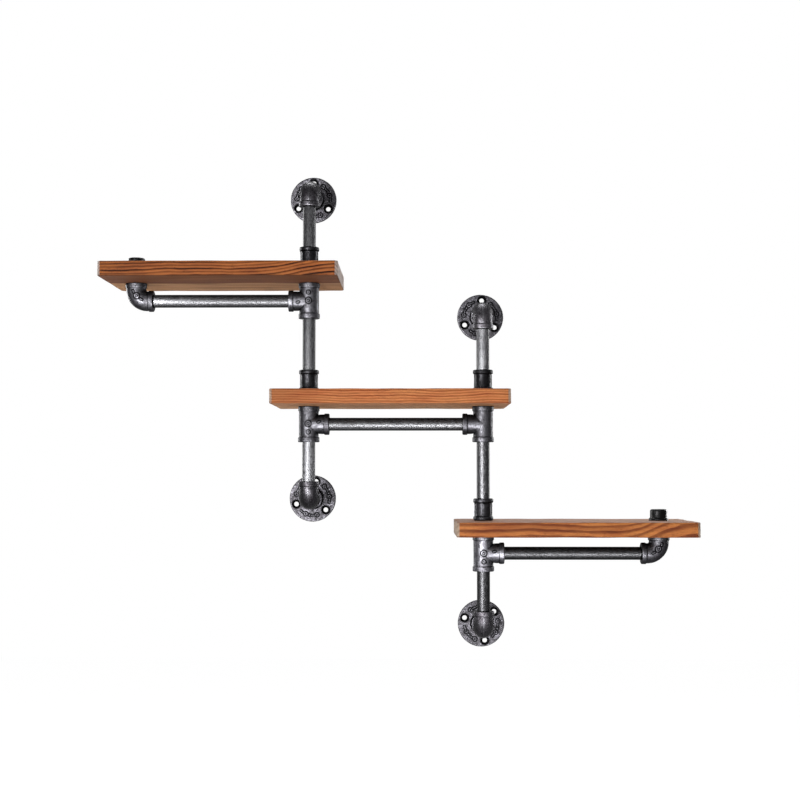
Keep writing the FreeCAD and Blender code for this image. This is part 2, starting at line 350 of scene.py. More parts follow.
def makePipeSteel():
    look = pipeFinish
    material, tree, shader = newMaterial("blackenedPipeSteel")
    lay = stored(tree, "lay", "Vector")       # millimetres, Z along the pipe
    run = stored(tree, "run", "Vector")       # the way the pipe points
    normal = addNode(tree, "NewGeometry").outputs["Normal"]
    around = addNode(tree, "VectorMath", {0: run, 1: normal}, operation="CROSS_PRODUCT").outputs[0]
    haze = stored(tree, "haze")               # dulled lengths spread the light
    brushed = grainNoise(tree, stretched(tree, lay, (1.2, 1.2, 0.16)), 1.0, 3.0, 0.6)
    pitted = grainNoise(tree, stretched(tree, lay, (0.6, 0.6, 0.4)), 1.0, 3.0, 0.65)
    clouded = grainNoise(tree, stretched(tree, lay, (0.10, 0.10, 0.035)), 1.0, 3.0)
    pitting = stored(tree, "pitting")
    scale = times(tree, spread(tree, pitted, 0.52, 0.64), pitting)
    scale = calculate(tree, "MAXIMUM", scale, spread(tree, clouded, 0.50, 0.75, 0.0, 0.45))
    sparkle = times(tree, spread(tree, brushed, 0.3, 0.7, -0.55, 0.55), pitting)
    # tone: the piece's brightness, partly its own finish and partly painted light and shade
    bright = times(tree, stored(tree, "tone"), calculate(tree, "ADD", sparkle, 1.0))
    steel = scaled(tree, look["steel"][:3], bright)
    rough = spread(tree, brushed, 0.32, 0.68, *look["roughness"])
    height = calculate(tree, "SUBTRACT", brushed, times(tree, pitted, 0.8))
    bump = addNode(tree, "Bump", {"Height": height, "Strength": 1.0, "Distance": look["brushDepth"]})
    setInputs(tree, shader, {
        "Base Color": mixColours(tree, scale, steel, look["millScale"]),
        "Metallic": 1.0,
        "Roughness": times(tree, rough, haze),
        "Coat Weight": 1.0,
        "Coat Roughness": look["lacquerRoughness"],
        "Coat IOR": look["lacquerIor"],
        "Coat Tint": look["lacquer"],
        "Anisotropic": look["acrossSpread"],
        "Tangent": around,
        "Normal": bump.outputs[0],
    })
    return material


ironUsual = {                    # what all four irons have, unless one says otherwise below
    # near-black for the cast pits, and painted shade in the hollows
    "darkPitsAndShade": (0.004, 0.004, 0.0045, 1),
    "metallic": 0.95, "roughness": (0.40, 0.54), "lacquerRoughness": 0.4,
    "grainSize": 2.0, "grainDepth": 0.00045,
    "speckle": 0.42,
    "pitShare": 1.4,             # how strongly pits show beside specks
    "wear": 0.8,
    "wornBreakup": 2.2,          # mm
    "wornPolish": 0.1,           # how much smoother the rubbed places are
}
ironFinishes = {
    "fittingIron": {
        "skin": (0.215, 0.212, 0.225, 1), "shade": (0.130, 0.126, 0.135, 1),
        "rubbed": (0.60, 0.60, 0.62, 1), "lacquer": (0.22, 0.22, 0.23, 1),
    },
    # the riser elbows' iron: the fitting iron made darker, painted shade for the dim light their fronts get
    "shadedElbowIron": {
        "skin": (0.125, 0.118, 0.127, 1), "shade": (0.075, 0.068, 0.075, 1),
        "rubbed": (0.55, 0.55, 0.57, 1), "lacquer": (0.30, 0.30, 0.31, 1),
    },
    "flangeIron": {
        "skin": (0.070, 0.067, 0.073, 1), "shade": (0.048, 0.045, 0.048, 1),
        "rubbed": (0.36, 0.36, 0.38, 1), "lacquer": (0.25, 0.25, 0.26, 1),
        "roughness": (0.42, 0.56), "grainSize": 2.2, "speckle": 0.5,
    },
    "capIron": {
        "skin": (0.030, 0.029, 0.030, 1), "shade": (0.018, 0.018, 0.018, 1),
        "rubbed": (0.08, 0.08, 0.082, 1), "lacquer": (0.40, 0.40, 0.40, 1),
        "roughness": (0.42, 0.56), "grainSize": 1.6, "grainDepth": 0.00020,
        "wear": 0.35, "speckle": 0.3,
    },
}


def makeIron(name):
    look = {**ironUsual, **ironFinishes[name]}
    material, tree, shader = newMaterial(name)
    grain = useGroup(tree, castGrain, {"Grain Size": look["grainSize"]})
    relief = useGroup(tree, wearAndShadeRelief, {"Amount": look["wear"], "Breakup Size": look["wornBreakup"]})
    onCrests = relief["Rubbed"]
    specks = times(tree, grain["Speck"], look["speckle"])
    pits = times(tree, grain["Pit"], look["speckle"] * look["pitShare"])
    skin = mixColours(tree, grain["Patch"], look["shade"], look["skin"])
    skin = mixColours(tree, specks, skin, look["rubbed"])
    skin = mixColours(tree, pits, skin, look["darkPitsAndShade"])
    skin = mixColours(tree, onCrests, skin, look["rubbed"])
    # scales by the piece's tone, then turns the hollows, necks and rings round marks and holes near-black as
    # painted shade
    toned = mixColours(tree, relief["Painted Shade"], scaled(tree, skin, stored(tree, "tone")), look["darkPitsAndShade"])
    rough = spread(tree, grain["Patch"], 0.0, 1.0, look["roughness"][1], look["roughness"][0])
    bump = addNode(tree, "Bump", {"Height": grain["Height"], "Strength": 1.0,
                                  "Distance": look["grainDepth"]})
    setInputs(tree, shader, {
        "Base Color": toned,
        "Metallic": look["metallic"],
        "Roughness": calculate(tree, "SUBTRACT", rough, times(tree, onCrests, look["wornPolish"])),
        "Coat Weight": 1.0,
        "Coat Roughness": look["lacquerRoughness"],
        "Coat IOR": pipeFinish["lacquerIor"],
        "Coat Tint": look["lacquer"],
        "Normal": bump.outputs[0],
    })
    return material


boardFinishes = {
    "top": {
        "early": (0.44, 0.135, 0.034, 1), "late": (0.008, 0.002, 0.001, 1),
        "blush": (0.25, 0.062, 0.018, 1),
        "pithY": -150.0, "pithZ": -62.0, "ringWidth": 4.0, "wander": 0.6, "climb": 0.012,
        "bendStart": 60.0, "bendEnd": 190.0, "bendRise": 16.0, "lineStrength": 1.0,
        "endGrain": (0.60, 0.51, 0.46, 1), "leftShade": 0.85, "dashes": 0.35, "stain": 0.0,
        "underFront": (0.15, 0.058, 0.026, 1), "underBack": (0.44, 0.235, 0.115, 1),
    },
    "middle": {
        "early": (0.61, 0.228, 0.078, 1), "late": (0.24, 0.055, 0.016, 1),
        "blush": (0.51, 0.145, 0.050, 1),
        "pithY": -125.0, "pithZ": 75.0, "ringWidth": 4.0, "wander": 0.8, "climb": -0.012,
        "bendStart": 60.0, "bendEnd": 190.0, "bendRise": 4.0, "lineStrength": 1.0,
        "endGrain": (0.48, 0.38, 0.30, 1), "leftShade": 0.75, "dashes": 0.35, "stain": 0.0,
        "underFront": (0.42, 0.21, 0.105, 1), "underBack": (0.44, 0.24, 0.12, 1),
    },
    "bottom": {
        "early": (0.56, 0.200, 0.054, 1), "late": (0.14, 0.030, 0.010, 1),
        "blush": (0.34, 0.080, 0.026, 1),
        "pithY": -140.0, "pithZ": -48.0, "ringWidth": 7.0, "wander": 0.9, "climb": -0.01,
        "bendStart": 60.0, "bendEnd": 185.0, "bendRise": 34.0, "lineStrength": 0.9,
        "endGrain": (0.50, 0.42, 0.33, 1), "leftShade": 1.0, "dashes": 0.6, "stain": 0.5,
        "underFront": (0.36, 0.16, 0.070, 1), "underBack": (0.40, 0.20, 0.090, 1),
    },
}
boardSkin = {
    "dustAndSheen": (0.52, 0.42, 0.36, 1),      # what the upper faces fade to: partly dust, partly a painted sheen
    "fade": 0.45,
    "underSeam": (-6.0, 14.0),               # mm from the middle, where the underside turns lighter
    "shadeReach": 190.0,                     # mm either side of the middle, over which the left shades off
    "stainHeight": 1.5, "stainHalf": 4.5,    # a wine-brown band along the front face
    "stainMiddle": -35.0, "stainReach": 100.0,
    "stainSoft": (2, 20),                    # mm either side of its edges, across and along
    "blushShare": 0.6, "underShare": 0.88, "endShare": 0.85, "endLines": 0.4, "arrisDarkening": 0.7,
    "roughness": (0.58, 0.74),
    "gloss": 0.02,
    "fibreDepth": 0.00012,
}


def makeWood(level, centre):
    look = boardFinishes[level]
    material, tree, shader = newMaterial(level + "BoardPine")
    fromCentre = tuple(-value / mm for value in centre)
    objectPlace = addNode(tree, "TexCoord").outputs["Object"]
    place = stretched(tree, objectPlace, (1 / mm,) * 3, fromCentre)
    grain = useGroup(tree, boardGrain, {
        "Place": place, "Pith Y": look["pithY"], "Pith Z": look["pithZ"],
        "Ring Width": look["ringWidth"], "Wander": look["wander"], "Climb": look["climb"],
        "Bend Start": look["bendStart"], "Bend End": look["bendEnd"], "Bend Rise": look["bendRise"],
    })
    facing = addNode(tree, "SeparateXYZ", {0: addNode(tree, "TexCoord").outputs["Normal"]}).outputs
    endFace = spread(tree, calculate(tree, "ABSOLUTE", facing[0]), 0.35, 0.75)
    underFace = spread(tree, facing[2], -0.9, -0.4, 1.0, 0.0)
    across = addNode(tree, "SeparateXYZ", {0: place}).outputs
    reach = boardSkin["shadeReach"]
    blushed = times(tree, grain["Blush"], boardSkin["blushShare"])
    body = mixColours(tree, blushed, look["early"], look["blush"])
    body = scaled(tree, body, spread(tree, across[0], -reach, -reach * 0.3, look["leftShade"], 1.0))
    seam = calculate(tree, "MULTIPLY_ADD", grain["Streak"], 9.0, across[1])
    pastSeam = spread(tree, seam, *boardSkin["underSeam"])
    under = mixColours(tree, pastSeam, look["underFront"], look["underBack"])
    under = scaled(tree, under, spread(tree, grain["Streak"], 0.0, 1.0, 0.8, 1.15))
    strongest = look["lineStrength"]
    line = times(tree, grain["Line"], spread(tree, grain["Blush"], 0.0, 1.0, strongest * 0.75, strongest))
    body = mixColours(tree, line, body, look["late"])
    offBand = calculate(tree, "ABSOLUTE", calculate(tree, "SUBTRACT", across[2], boardSkin["stainHeight"]))
    offMiddle = calculate(tree, "ABSOLUTE", calculate(tree, "SUBTRACT", across[0], boardSkin["stainMiddle"]))
    half, far = boardSkin["stainHalf"], boardSkin["stainReach"]
    softAcross, softAlong = boardSkin["stainSoft"]
    band = times(tree, spread(tree, offBand, half - softAcross, half + softAcross, 1.0, 0.0),
                 spread(tree, offMiddle, far - softAlong, far + softAlong, look["stain"], 0.0))
    dashes = times(tree, grain["Dash"], look["dashes"])
    broken = times(tree, band, calculate(tree, "MULTIPLY_ADD", grain["Dash"], 0.5, 0.5))
    body = mixColours(tree, calculate(tree, "MAXIMUM", dashes, broken), body, look["late"])
    body = mixColours(tree, times(tree, underFace, boardSkin["underShare"]), body, under)
    # upper faces fade greyish: partly dust, partly painted sheen
    dustAndSheenShare = spread(tree, facing[2], 0.4, 0.9, 0.0, boardSkin["fade"])
    body = mixColours(tree, dustAndSheenShare, body, boardSkin["dustAndSheen"])
    body = scaled(tree, body, spread(tree, grain["Fibre"], 0.25, 0.75, 0.78, 1.2))
    cut = mixColours(tree, times(tree, line, boardSkin["endLines"]), look["endGrain"], look["late"])
    body = mixColours(tree, times(tree, endFace, boardSkin["endShare"]), body, cut)
    # darkens the rounded arrises towards the late-wood colour
    onCrests = spread(tree, stored(tree, "crest"), 0.05, 0.5, 0.0, boardSkin["arrisDarkening"])
    body = mixColours(tree, onCrests, body, look["late"])
    height = calculate(tree, "SUBTRACT", grain["Fibre"], times(tree, line, 0.5))
    bump = addNode(tree, "Bump", {"Height": height, "Strength": 1.0, "Distance": boardSkin["fibreDepth"]})
    setInputs(tree, shader, {
        "Base Color": body,
        "Roughness": spread(tree, grain["Fibre"], 0.3, 0.7, *boardSkin["roughness"]),
        "Specular IOR Level": boardSkin["gloss"],
        "Normal": bump.outputs[0],
    })
    return material


pipeSteel = makePipeSteel()
fittingIron, shadedElbowIron, flangeIron, capIron = [makeIron(name) for name in ironFinishes]
print("finishes: pipe steel and", len(ironFinishes), "cast irons")


# ---- shaping helpers, in millimetres

def bevelled(form, geom, offset, segments, affect="EDGES"):
    bmesh.ops.bevel(form, geom=geom, offset=offset, offset_type="OFFSET", segments=segments,
                    profile=0.5, affect=affect, material=-1)


def cutAlong(form, point, normal, tolerance=0.01, dropOuter=False):
    everything = form.verts[:] + form.edges[:] + form.faces[:]
    bmesh.ops.bisect_plane(form, geom=everything, dist=tolerance, plane_co=point, plane_no=normal,
                           clear_outer=dropOuter)


def turned(outline, steps, closed=True, gridStep=None, boreRadius=0.0):
    # turns an outline of (radius, height, rounding) round Z; the bore keeps long faces
    form = bmesh.new()
    corners = [form.verts.new((radius, 0, height)) for radius, height, rounding in outline]
    followers = corners[1:] + corners[:1] if closed else corners[1:]
    for first, second in zip(corners, followers):
        form.edges.new((first, second))
    for corner, (radius, height, rounding) in zip(corners, outline):
        if rounding:
            bevelled(form, [corner], rounding, 4, "VERTICES")
    if gridStep:
        for edge in form.edges[:]:
            inBore = all(vert.co.x < boreRadius + 0.1 for vert in edge.verts)
            cuts = math.ceil(edge.calc_length() / gridStep) - 1
            if cuts > 0 and not inBore:
                bmesh.ops.subdivide_edges(form, edges=[edge], cuts=cuts)
    bmesh.ops.spin(form, geom=form.verts[:] + form.edges[:], cent=(0, 0, 0), axis=(0, 0, 1),
                   angle=2 * math.pi, steps=steps, use_merge=True, use_duplicate=False)
    bmesh.ops.remove_doubles(form, verts=form.verts[:], dist=0.001)
    bmesh.ops.recalc_face_normals(form, faces=form.faces[:])
    bore = form.verts.layers.int.new("bore")
    for vert in form.verts:
        vert[bore] = int(math.hypot(vert.co.x, vert.co.y) < boreRadius + 0.1)
    return form


def gridded(form, size, step):
    # cuts the form square to each axis, so that its long faces can be moved
    for axis in range(3):
        normal = Vector((0, 0, 0))
        normal[axis] = 1
        count = round(size[axis] / step)
        for cut in range(1, count):
            cutAlong(form, normal * size[axis] * (cut / count - 0.5), normal)


def joined(forms):
    whole = bmesh.new()
    for form in forms:
        carrier = bpy.data.meshes.new("carrier")
        form.to_mesh(carrier)
        form.free()
        whole.from_mesh(carrier)
        bpy.data.meshes.remove(carrier)
    return whole


def closedUp(form):
    bmesh.ops.remove_doubles(form, verts=form.verts[:], dist=0.01)
    bmesh.ops.recalc_face_normals(form, faces=form.faces[:])
    return form


def skinOf(form):
    # the vertices that aren't inside a bore
    bore = form.verts.layers.int["bore"]
    return [vert for vert in form.verts if not vert[bore]]


def roughen(form, depth, lumpSize, seed):
    # the slow unevenness of a sand-cast or hand-worked surface
    form.normal_update()
    shift = Vector((seed * 17.3, seed * 5.1, seed * 9.7))
    moves = []
    for vert in skinOf(form):
        swell = noise.noise(vert.co / lumpSize + shift)
        swell += 0.6 * noise.noise(vert.co * 2.7 / lumpSize - shift)
        moves.append((vert, vert.normal * depth * swell))
    for vert, move in moves:
        vert.co += move


foundryMark = {
    "stroke": 1.6,
    "sink": 1.6,                 # how far a mark's foot goes into the casting
    "edgeRound": 0.4, "pipRound": 0.5,
    # how far painted shade reaches round a mark, and how softly it ends
    "paintedShadeReach": 2.3, "paintedShadeFade": 1.5,
}


def markRelief(form, markPoints=()):
    # stores how far each point stands above its neighbours in "crest", and below them in "hollowShade",
    # which then reaches out a little and lies round the foundry marks, all of it painted shade
    form.normal_update()
    crest = form.verts.layers.float.new("crest")
    hollowShade = form.verts.layers.float.new("hollowShade")
    for vert in form.verts:
        rises = [vert.normal.dot((vert.co - edge.other_vert(vert).co).normalized())
                 for edge in vert.link_edges if edge.calc_length() > 1e-6]
        stand = 2.2 * sum(rises) / max(1, len(rises))
        vert[crest], vert[hollowShade] = max(0.0, stand), max(0.0, -stand)
    reached = [0.7 * max(edge.other_vert(vert)[hollowShade] for edge in vert.link_edges)
               for vert in form.verts]
    for vert, depth in zip(form.verts, reached):
        vert[hollowShade] = max(vert[hollowShade], depth * (vert[crest] < 0.05))
    nearby = kdtree.KDTree(len(markPoints))
    for index, point in enumerate(markPoints):
        nearby.insert(point, index)
    nearby.balance()
    # painted shade round each foundry mark
    paintedShadeReach, paintedShadeFade = foundryMark["paintedShadeReach"], foundryMark["paintedShadeFade"]
    for vert in form.verts:
        distance = nearby.find(vert.co)[2] if markPoints else paintedShadeReach
        if distance > 0.05:      # nearer ones are on the marks themselves
            vert[hollowShade] = max(vert[hollowShade], min(1.0, (paintedShadeReach - distance) / paintedShadeFade))


def combined(form, other, operation):
    # cuts another closed form out of this one, or adds it
    shapes = []
    for part in (form, other):
        shape = bpy.data.meshes.new("combining")
        part.to_mesh(shape)
        part.free()
        shapes.append(bpy.data.objects.new("combining", shape))
        bpy.context.scene.collection.objects.link(shapes[-1])
    body, tool = shapes
    combining = body.modifiers.new("combine", "BOOLEAN")
    combining.object = tool
    combining.operation = operation
    combining.solver = "EXACT"
    result = bmesh.new()
    result.from_object(body, bpy.context.evaluated_depsgraph_get())
    for shape in shapes:
        data = shape.data
        bpy.data.objects.remove(shape)
        bpy.data.meshes.remove(data)
    return result


def frameAt(origin, xAxis, yAxis, zAxis):
    turn = Matrix((xAxis, yAxis, zAxis)).transposed().to_4x4()
    return Matrix.Translation(origin) @ turn


def boxInMm(node):
    low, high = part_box(node)
    return low / mm, high / mm


def centreOf(node):
    low, high = boxInMm(node)
    return (low + high) / 2


def farSide(node, way):
    # how far a node reaches along an axis direction, in millimetres
    low, high = boxInMm(node)
    return max(low.dot(way), high.dot(way))


def castMark(kind, length, height):
    # one plain foundry mark, a ring, a pip or a bar, that stands up from z = 0
    stroke, sink, edge = foundryMark["stroke"], foundryMark["sink"], foundryMark["edgeRound"]
    outer, inner = length / 2, length / 2 - stroke
    if kind == "ring":
        outline = [(inner, -sink, 0), (outer, -sink, 0), (outer, height, edge), (inner, height, edge)]
        return turned(outline, 40)
    if kind == "pip":
        crown = foundryMark["pipRound"]
        outline = [(0, -sink, 0), (outer, -sink, 0), (outer, height, crown), (0, height, 0)]
        return turned(outline, 28, closed=False)
    form = bmesh.new()
    bmesh.ops.create_cube(form, size=1.0)
    bmesh.ops.scale(form, vec=(length, stroke, height + sink), verts=form.verts)
    bmesh.ops.translate(form, vec=(0, 0, (height - sink) / 2), verts=form.verts)
    bevelled(form, form.edges[:], edge, 3)
    gridded(form, (length, 0, 0), 0.6)
    form.verts.layers.int.new("bore")
    return form


def castMarks(form, marks, layers, height):
    # adds marks of (kind, length, u, v, turn) to a form and gives their points too; each layer
    # is a function onto(u, v, rise) that lays them on one side of its skin
    raised, points = [], []
    for onto in layers:
        for kind, length, u, v, turn in marks:
            mark = castMark(kind, length, height)
            swing = Matrix.Translation((u, v, 0)) @ Matrix.Rotation(math.radians(turn), 4, "Z")
            bmesh.ops.transform(mark, matrix=swing, verts=mark.verts)
            for vert in mark.verts:
                vert.co = onto(*vert.co)
            bmesh.ops.recalc_face_normals(mark, faces=mark.faces[:])
            points += [vert.co.copy() for vert in mark.verts]
            raised.append(mark)
    return combined(form, joined(raised), "UNION"), points


def addPiece(form, node, place, material, slot, tone=1.0, sharpAngle=38):
    # puts a finished form in its node's place, in metres, and lets it stand for the node
    # tone: the piece's brightness, partly its own finish and partly painted light and shade
    toneLayer = form.verts.layers.float.new("tone")
    for vert in form.verts:
        vert[toneLayer] = tone
    bmesh.ops.transform(form, matrix=Matrix.Scale(mm, 4) @ place, verts=form.verts)
    form.normal_update()
    for face in form.faces:
        face.smooth = True
    for edge in form.edges:
        edge.smooth = edge.calc_face_angle(0) < math.radians(sharpAngle)
    shape = bpy.data.meshes.new(node + "_finished")
    form.to_mesh(shape)
    form.free()
    shape.materials.append(material)
    piece = bpy.data.objects.new(node + "_finished", shape)
    bpy.context.scene.collection.objects.link(piece)
    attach(piece, "root")
    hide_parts(node)
    return piece


# ---- pipes

pipe = {
    "radius": 10.65,
    "wall": 2.75,
    "endChamfer": 0.8,
    "steps": 64,
    "ringStep": 12.0,
    "usualToneAndLight": 0.8, "usualHaze": 1.0, "usualPits": 0.8,
}
pipeTonesAndLight = {                    # how bright each length is made, partly its own finish and partly painted light and shade; and below, how dull and how pitted
    "riser_pipe_top_left": 1.55, "riser_pipe_middle_left": 0.68, "riser_pipe_bottom_left": 1.2,
    "riser_pipe_top_right": 1.4, "riser_pipe_middle_right": 0.62, "riser_pipe_bottom_right": 0.38,
    "rail_pipe_top": 0.75, "rail_pipe_middle": 0.85, "rail_pipe_bottom": 0.37,
}
pipeHazes = {"riser_pipe_top_left": 1.35, "riser_pipe_middle_left": 1.45, "riser_pipe_bottom_left": 1.3,
             "riser_pipe_top_right": 1.35}
pipePits = {"rail_pipe_top": 0.3, "rail_pipe_middle": 0.3, "rail_pipe_bottom": 0.5}


def makePipe(length, way, dulled, pits, seed):
    outer, inner, chamfer = pipe["radius"], pipe["radius"] - pipe["wall"], pipe["endChamfer"]
    form = turned([
        (inner, 0, 0), (outer - chamfer, 0, 0), (outer, chamfer, 0),
        (outer, length - chamfer, 0), (outer - chamfer, length, 0), (inner, length, 0),
    ], pipe["steps"], gridStep=pipe["ringStep"], boreRadius=inner)
    lay = form.verts.layers.float_vector.new("lay")
    run = form.verts.layers.float_vector.new("run")
    haze = form.verts.layers.float.new("haze")
    pitting = form.verts.layers.float.new("pitting")
    for vert in form.verts:
        vert[lay] = vert.co + Vector((seed * 31.0, seed * 13.0, seed * 57.0))
        vert[run] = way
        vert[haze] = dulled
        vert[pitting] = pits
    markRelief(form)
    return form


pipeNodes = [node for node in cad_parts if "pipe" in node or "nipple" in node]
for seed, node in enumerate(sorted(pipeNodes)):
    low, high = boxInMm(node)
    size = high - low
    along = max(range(3), key=lambda axis: size[axis])
    middle = (low + high) / 2
    foot = middle.copy()
    foot[along] = low[along]
    axes = [right, toWall, up]
    place = frameAt(foot, axes[(along + 1) % 3], axes[(along + 2) % 3], axes[along])
    dulled = pipeHazes.get(node, pipe["usualHaze"])
    form = makePipe(size[along], axes[along], dulled, pipePits.get(node, pipe["usualPits"]), seed)
    addPiece(form, node, place, pipeSteel, "pipe_steel", pipeTonesAndLight.get(node, pipe["usualToneAndLight"]))
print("pipes:", len(pipeNodes))


# ---- elbows

elbow = {
    "reach": 29.5,               # corner to mouth
    "bodyRadius": 16.2,
    "bandRadius": 17.6, "bandWidth": 8.0, "bandRound": 1.5, "neckRound": 0.8,
    "bendRadius": 19.0,
    "socketRadius": 10.7, "socketLength": 9.5, "leadIn": 0.8,
    "chamberRadius": 11.2, "chamberRim": 0.3,
    "steps": 96, "bendSteps": 12, "gridStep": 1.1,
    "seamHeight": 0.30,
    "lumpDepth": 0.14, "lumpSize": 7.0,
    "markHeight": 0.8,
    "marks": [("bar", 4.5, -2.4, -15.0, 75), ("ring", 8.4, 3.4, -7.6, 0), ("pip", 2.8, 3.4, -7.6, 0),
              ("bar", 4.5, 11.0, -1.6, 20)],
}


def fittingArm(size, reach, backHeight, innerLine):
    # half of a fitting's arm in section, from its back, out over the band and into the socket
    socket, band = size["socketRadius"], reach - size["bandWidth"]
    return [
        (size["bodyRadius"], backHeight, 0),
        (size["bodyRadius"], band, size["neckRound"]),
        (size["bandRadius"], band, size["bandRound"]),
        (size["bandRadius"], reach, size["bandRound"]),
        (socket + size["leadIn"], reach, 0),
        (socket, reach - size["leadIn"], 0),
    ] + innerLine


def makeElbow(seed):
    # mouths look down and towards +Y, with the corner at the origin
    size = elbow
    bend, reach, chamber = size["bendRadius"], size["reach"], size["chamberRadius"]
    inside = [(size["socketRadius"], reach - size["socketLength"], 0),
              (chamber, bend + size["chamberRim"], 0), (chamber, bend, 0)]
    form = turned(fittingArm(size, reach, bend, inside), size["steps"], closed=False,
                  gridStep=size["gridStep"], boreRadius=chamber)
    bmesh.ops.scale(form, vec=(1, 1, -1), verts=form.verts)
    rims = [edge for edge in form.edges if edge.is_boundary]
    rimVerts = list({vert for edge in rims for vert in edge.verts})
    bmesh.ops.spin(form, geom=rims + rimVerts, cent=(0, bend, -bend), axis=(-1, 0, 0),
                   angle=math.pi / 4, steps=size["bendSteps"], use_merge=False, use_duplicate=False)
    otherHalf = form.copy()
    swap = Matrix(((1, 0, 0), (0, 0, -1), (0, -1, 0))).to_4x4()
    bmesh.ops.transform(otherHalf, matrix=swap, verts=otherHalf.verts)
    form = closedUp(joined([form, otherHalf]))
    form.normal_update()
    bodyEnd = reach - size["bandWidth"] - size["neckRound"]
    for vert in skinOf(form):
        onBody = vert.co.z > -bodyEnd and vert.co.y < bodyEnd
        if onBody and abs(vert.co.x) < 0.05:
            vert.co += vert.normal * size["seamHeight"]
    roughen(form, size["lumpDepth"], size["lumpSize"], seed)

    def onto(side):
        def place(y, z, rise):
            offLine = min(abs(math.hypot(y - bend, z + bend) - bend), size["bodyRadius"] - 1)
            return Vector((side * (math.sqrt(size["bodyRadius"] ** 2 - offLine ** 2) + rise), y, z))
        return place

    form, points = castMarks(form, size["marks"], (onto(-1), onto(1)), size["markHeight"])
    markRelief(form, markPoints=points)
    return form


def elbowPlace(node, first, second):
    third = second.cross(-first)
    corner = first * (farSide(node, first) - elbow["reach"])
    corner += second * (farSide(node, second) - elbow["reach"])
    corner += third * centreOf(node).dot(third)
    return frameAt(corner, third, second, -first)


elbowWays = {"riser_elbow_" + name: (down if "upper" in name else up, toWall) for name in crossings}
elbowWays["arm_elbow_top"] = (up, right)
elbowWays["arm_elbow_bottom"] = (up, left)
# per-piece brightness: partly each fitting's own finish, partly painted light and shade
elbowTonesAndLight = {
    "riser_elbow_upper_left": 0.65, "riser_elbow_lower_left": 0.45, "riser_elbow_upper_right": 1.0,
    "riser_elbow_lower_right": 0.75, "arm_elbow_top": 0.85, "arm_elbow_bottom": 0.58,
}
for seed, (node, ways) in enumerate(elbowWays.items()):
    # the riser elbows take the darker copy of the iron, as painted shade
    iron = shadedElbowIron if "riser" in node else fittingIron
    addPiece(makeElbow(seed), node, elbowPlace(node, *ways), iron, "fitting_iron", elbowTonesAndLight[node])
print("elbows:", len(elbowWays))


# ---- tees

tee = {
    "reach": 29.5, "branchExtra": 4.5,
    "bodyRadius": 16.2,
    "bandRadius": 17.6, "bandWidth": 8.0, "bandRound": 1.5, "neckRound": 0.8,
    "socketRadius": 10.7, "socketLength": 14.0, "leadIn": 0.8,
    "passageRadius": 9.0,
    "crossing": 17.0,            # rings match on all three arms up to this height
    "steps": 96, "gridStep": 1.1,
    "blendWidth": 2.5, "blendRounds": 5,
    "lumpDepth": 0.14, "lumpSize": 7.0, "firstSeed": 20,
    "markHeight": 0.8,
    "marks": [("ring", 8.6, 0.0, 0.6, 0), ("bar", 3.6, 0.2, 0.6, 35), ("ring", 5.2, 0.2, -13.0, 0),
              ("bar", 4.2, 17.4, 3.6, 20)],
    # per-piece brightness: partly own finish, partly painted light and shade
    "tonesAndLight": {"upper_left": 0.88, "lower_left": 0.67, "upper_right": 0.60, "lower_right": 1.2},
}


def makeTee(seed, marked):
    # the run along Z and the branch towards +X, with the centre at the origin
    size = tee
    socketFloor = size["reach"] - size["socketLength"]
    passage, crossing = size["passageRadius"], size["crossing"]
    inside = [(size["socketRadius"], socketFloor, 0), (passage, socketFloor, 0), (passage, 0, 0)]
    outline = fittingArm(size, size["reach"], crossing, inside)
    outline.insert(0, (size["bodyRadius"], 0, 0))
    arm = turned(outline, size["steps"], closed=False, gridStep=size["gridStep"],
                 boreRadius=size["socketRadius"])
    branch = arm.copy()
    cutAlong(arm, (0, 0, 0), (1, 0, -1), tolerance=0.001, dropOuter=True)
    lowerArm = arm.copy()
    bmesh.ops.scale(lowerArm, vec=(1, 1, -1), verts=lowerArm.verts)
    swap = Matrix(((0, 0, 1), (0, 1, 0), (1, 0, 0))).to_4x4()
    bmesh.ops.transform(branch, matrix=swap, verts=branch.verts)
    for slant in ((-1, 0, 1), (-1, 0, -1)):
        cutAlong(branch, (0, 0, 0), slant, tolerance=0.001, dropOuter=True)
    for vert in branch.verts:
        past = vert.co.x - socketFloor
        if past > -0.01:
            vert.co.x += size["branchExtra"] * min(1.0, past / (crossing - socketFloor))
    form = closedUp(joined([arm, lowerArm, branch]))
    nearCrease = [vert for vert in skinOf(form)
                  if abs(abs(vert.co.z) - vert.co.x) < size["blendWidth"] and vert.co.x > 2]
    for turn in range(size["blendRounds"]):
        bmesh.ops.smooth_vert(form, verts=nearCrease, factor=0.5, use_axis_x=True, use_axis_y=True,
                              use_axis_z=True)
    roughen(form, size["lumpDepth"], size["lumpSize"], seed + size["firstSeed"])

    def onto(side):
        def place(x, z, rise):
            offLine = min(abs(x), abs(z)) if x > 0 else abs(x)
            return Vector((x, side * (math.sqrt(size["bodyRadius"] ** 2 - offLine ** 2) + rise), z))
        return place

    points = ()
    if marked:
        form, points = castMarks(form, size["marks"], (onto(-1), onto(1)), size["markHeight"])
    markRelief(form, markPoints=points)
    return form


for seed, name in enumerate(crossings):
    node = "tee_" + name
    way = left if "upper" in name else right
    middle = centreOf(node)
    centre = middle + way * (farSide(node, way) - tee["reach"] - tee["branchExtra"] - middle.dot(way))
    place = frameAt(centre, way, toWall, way.cross(toWall))
    form = makeTee(seed, name != "upper_right")
    addPiece(form, node, place, fittingIron, "fitting_iron", tee["tonesAndLight"][name])
print("tees:", len(crossings))


# ---- couplings

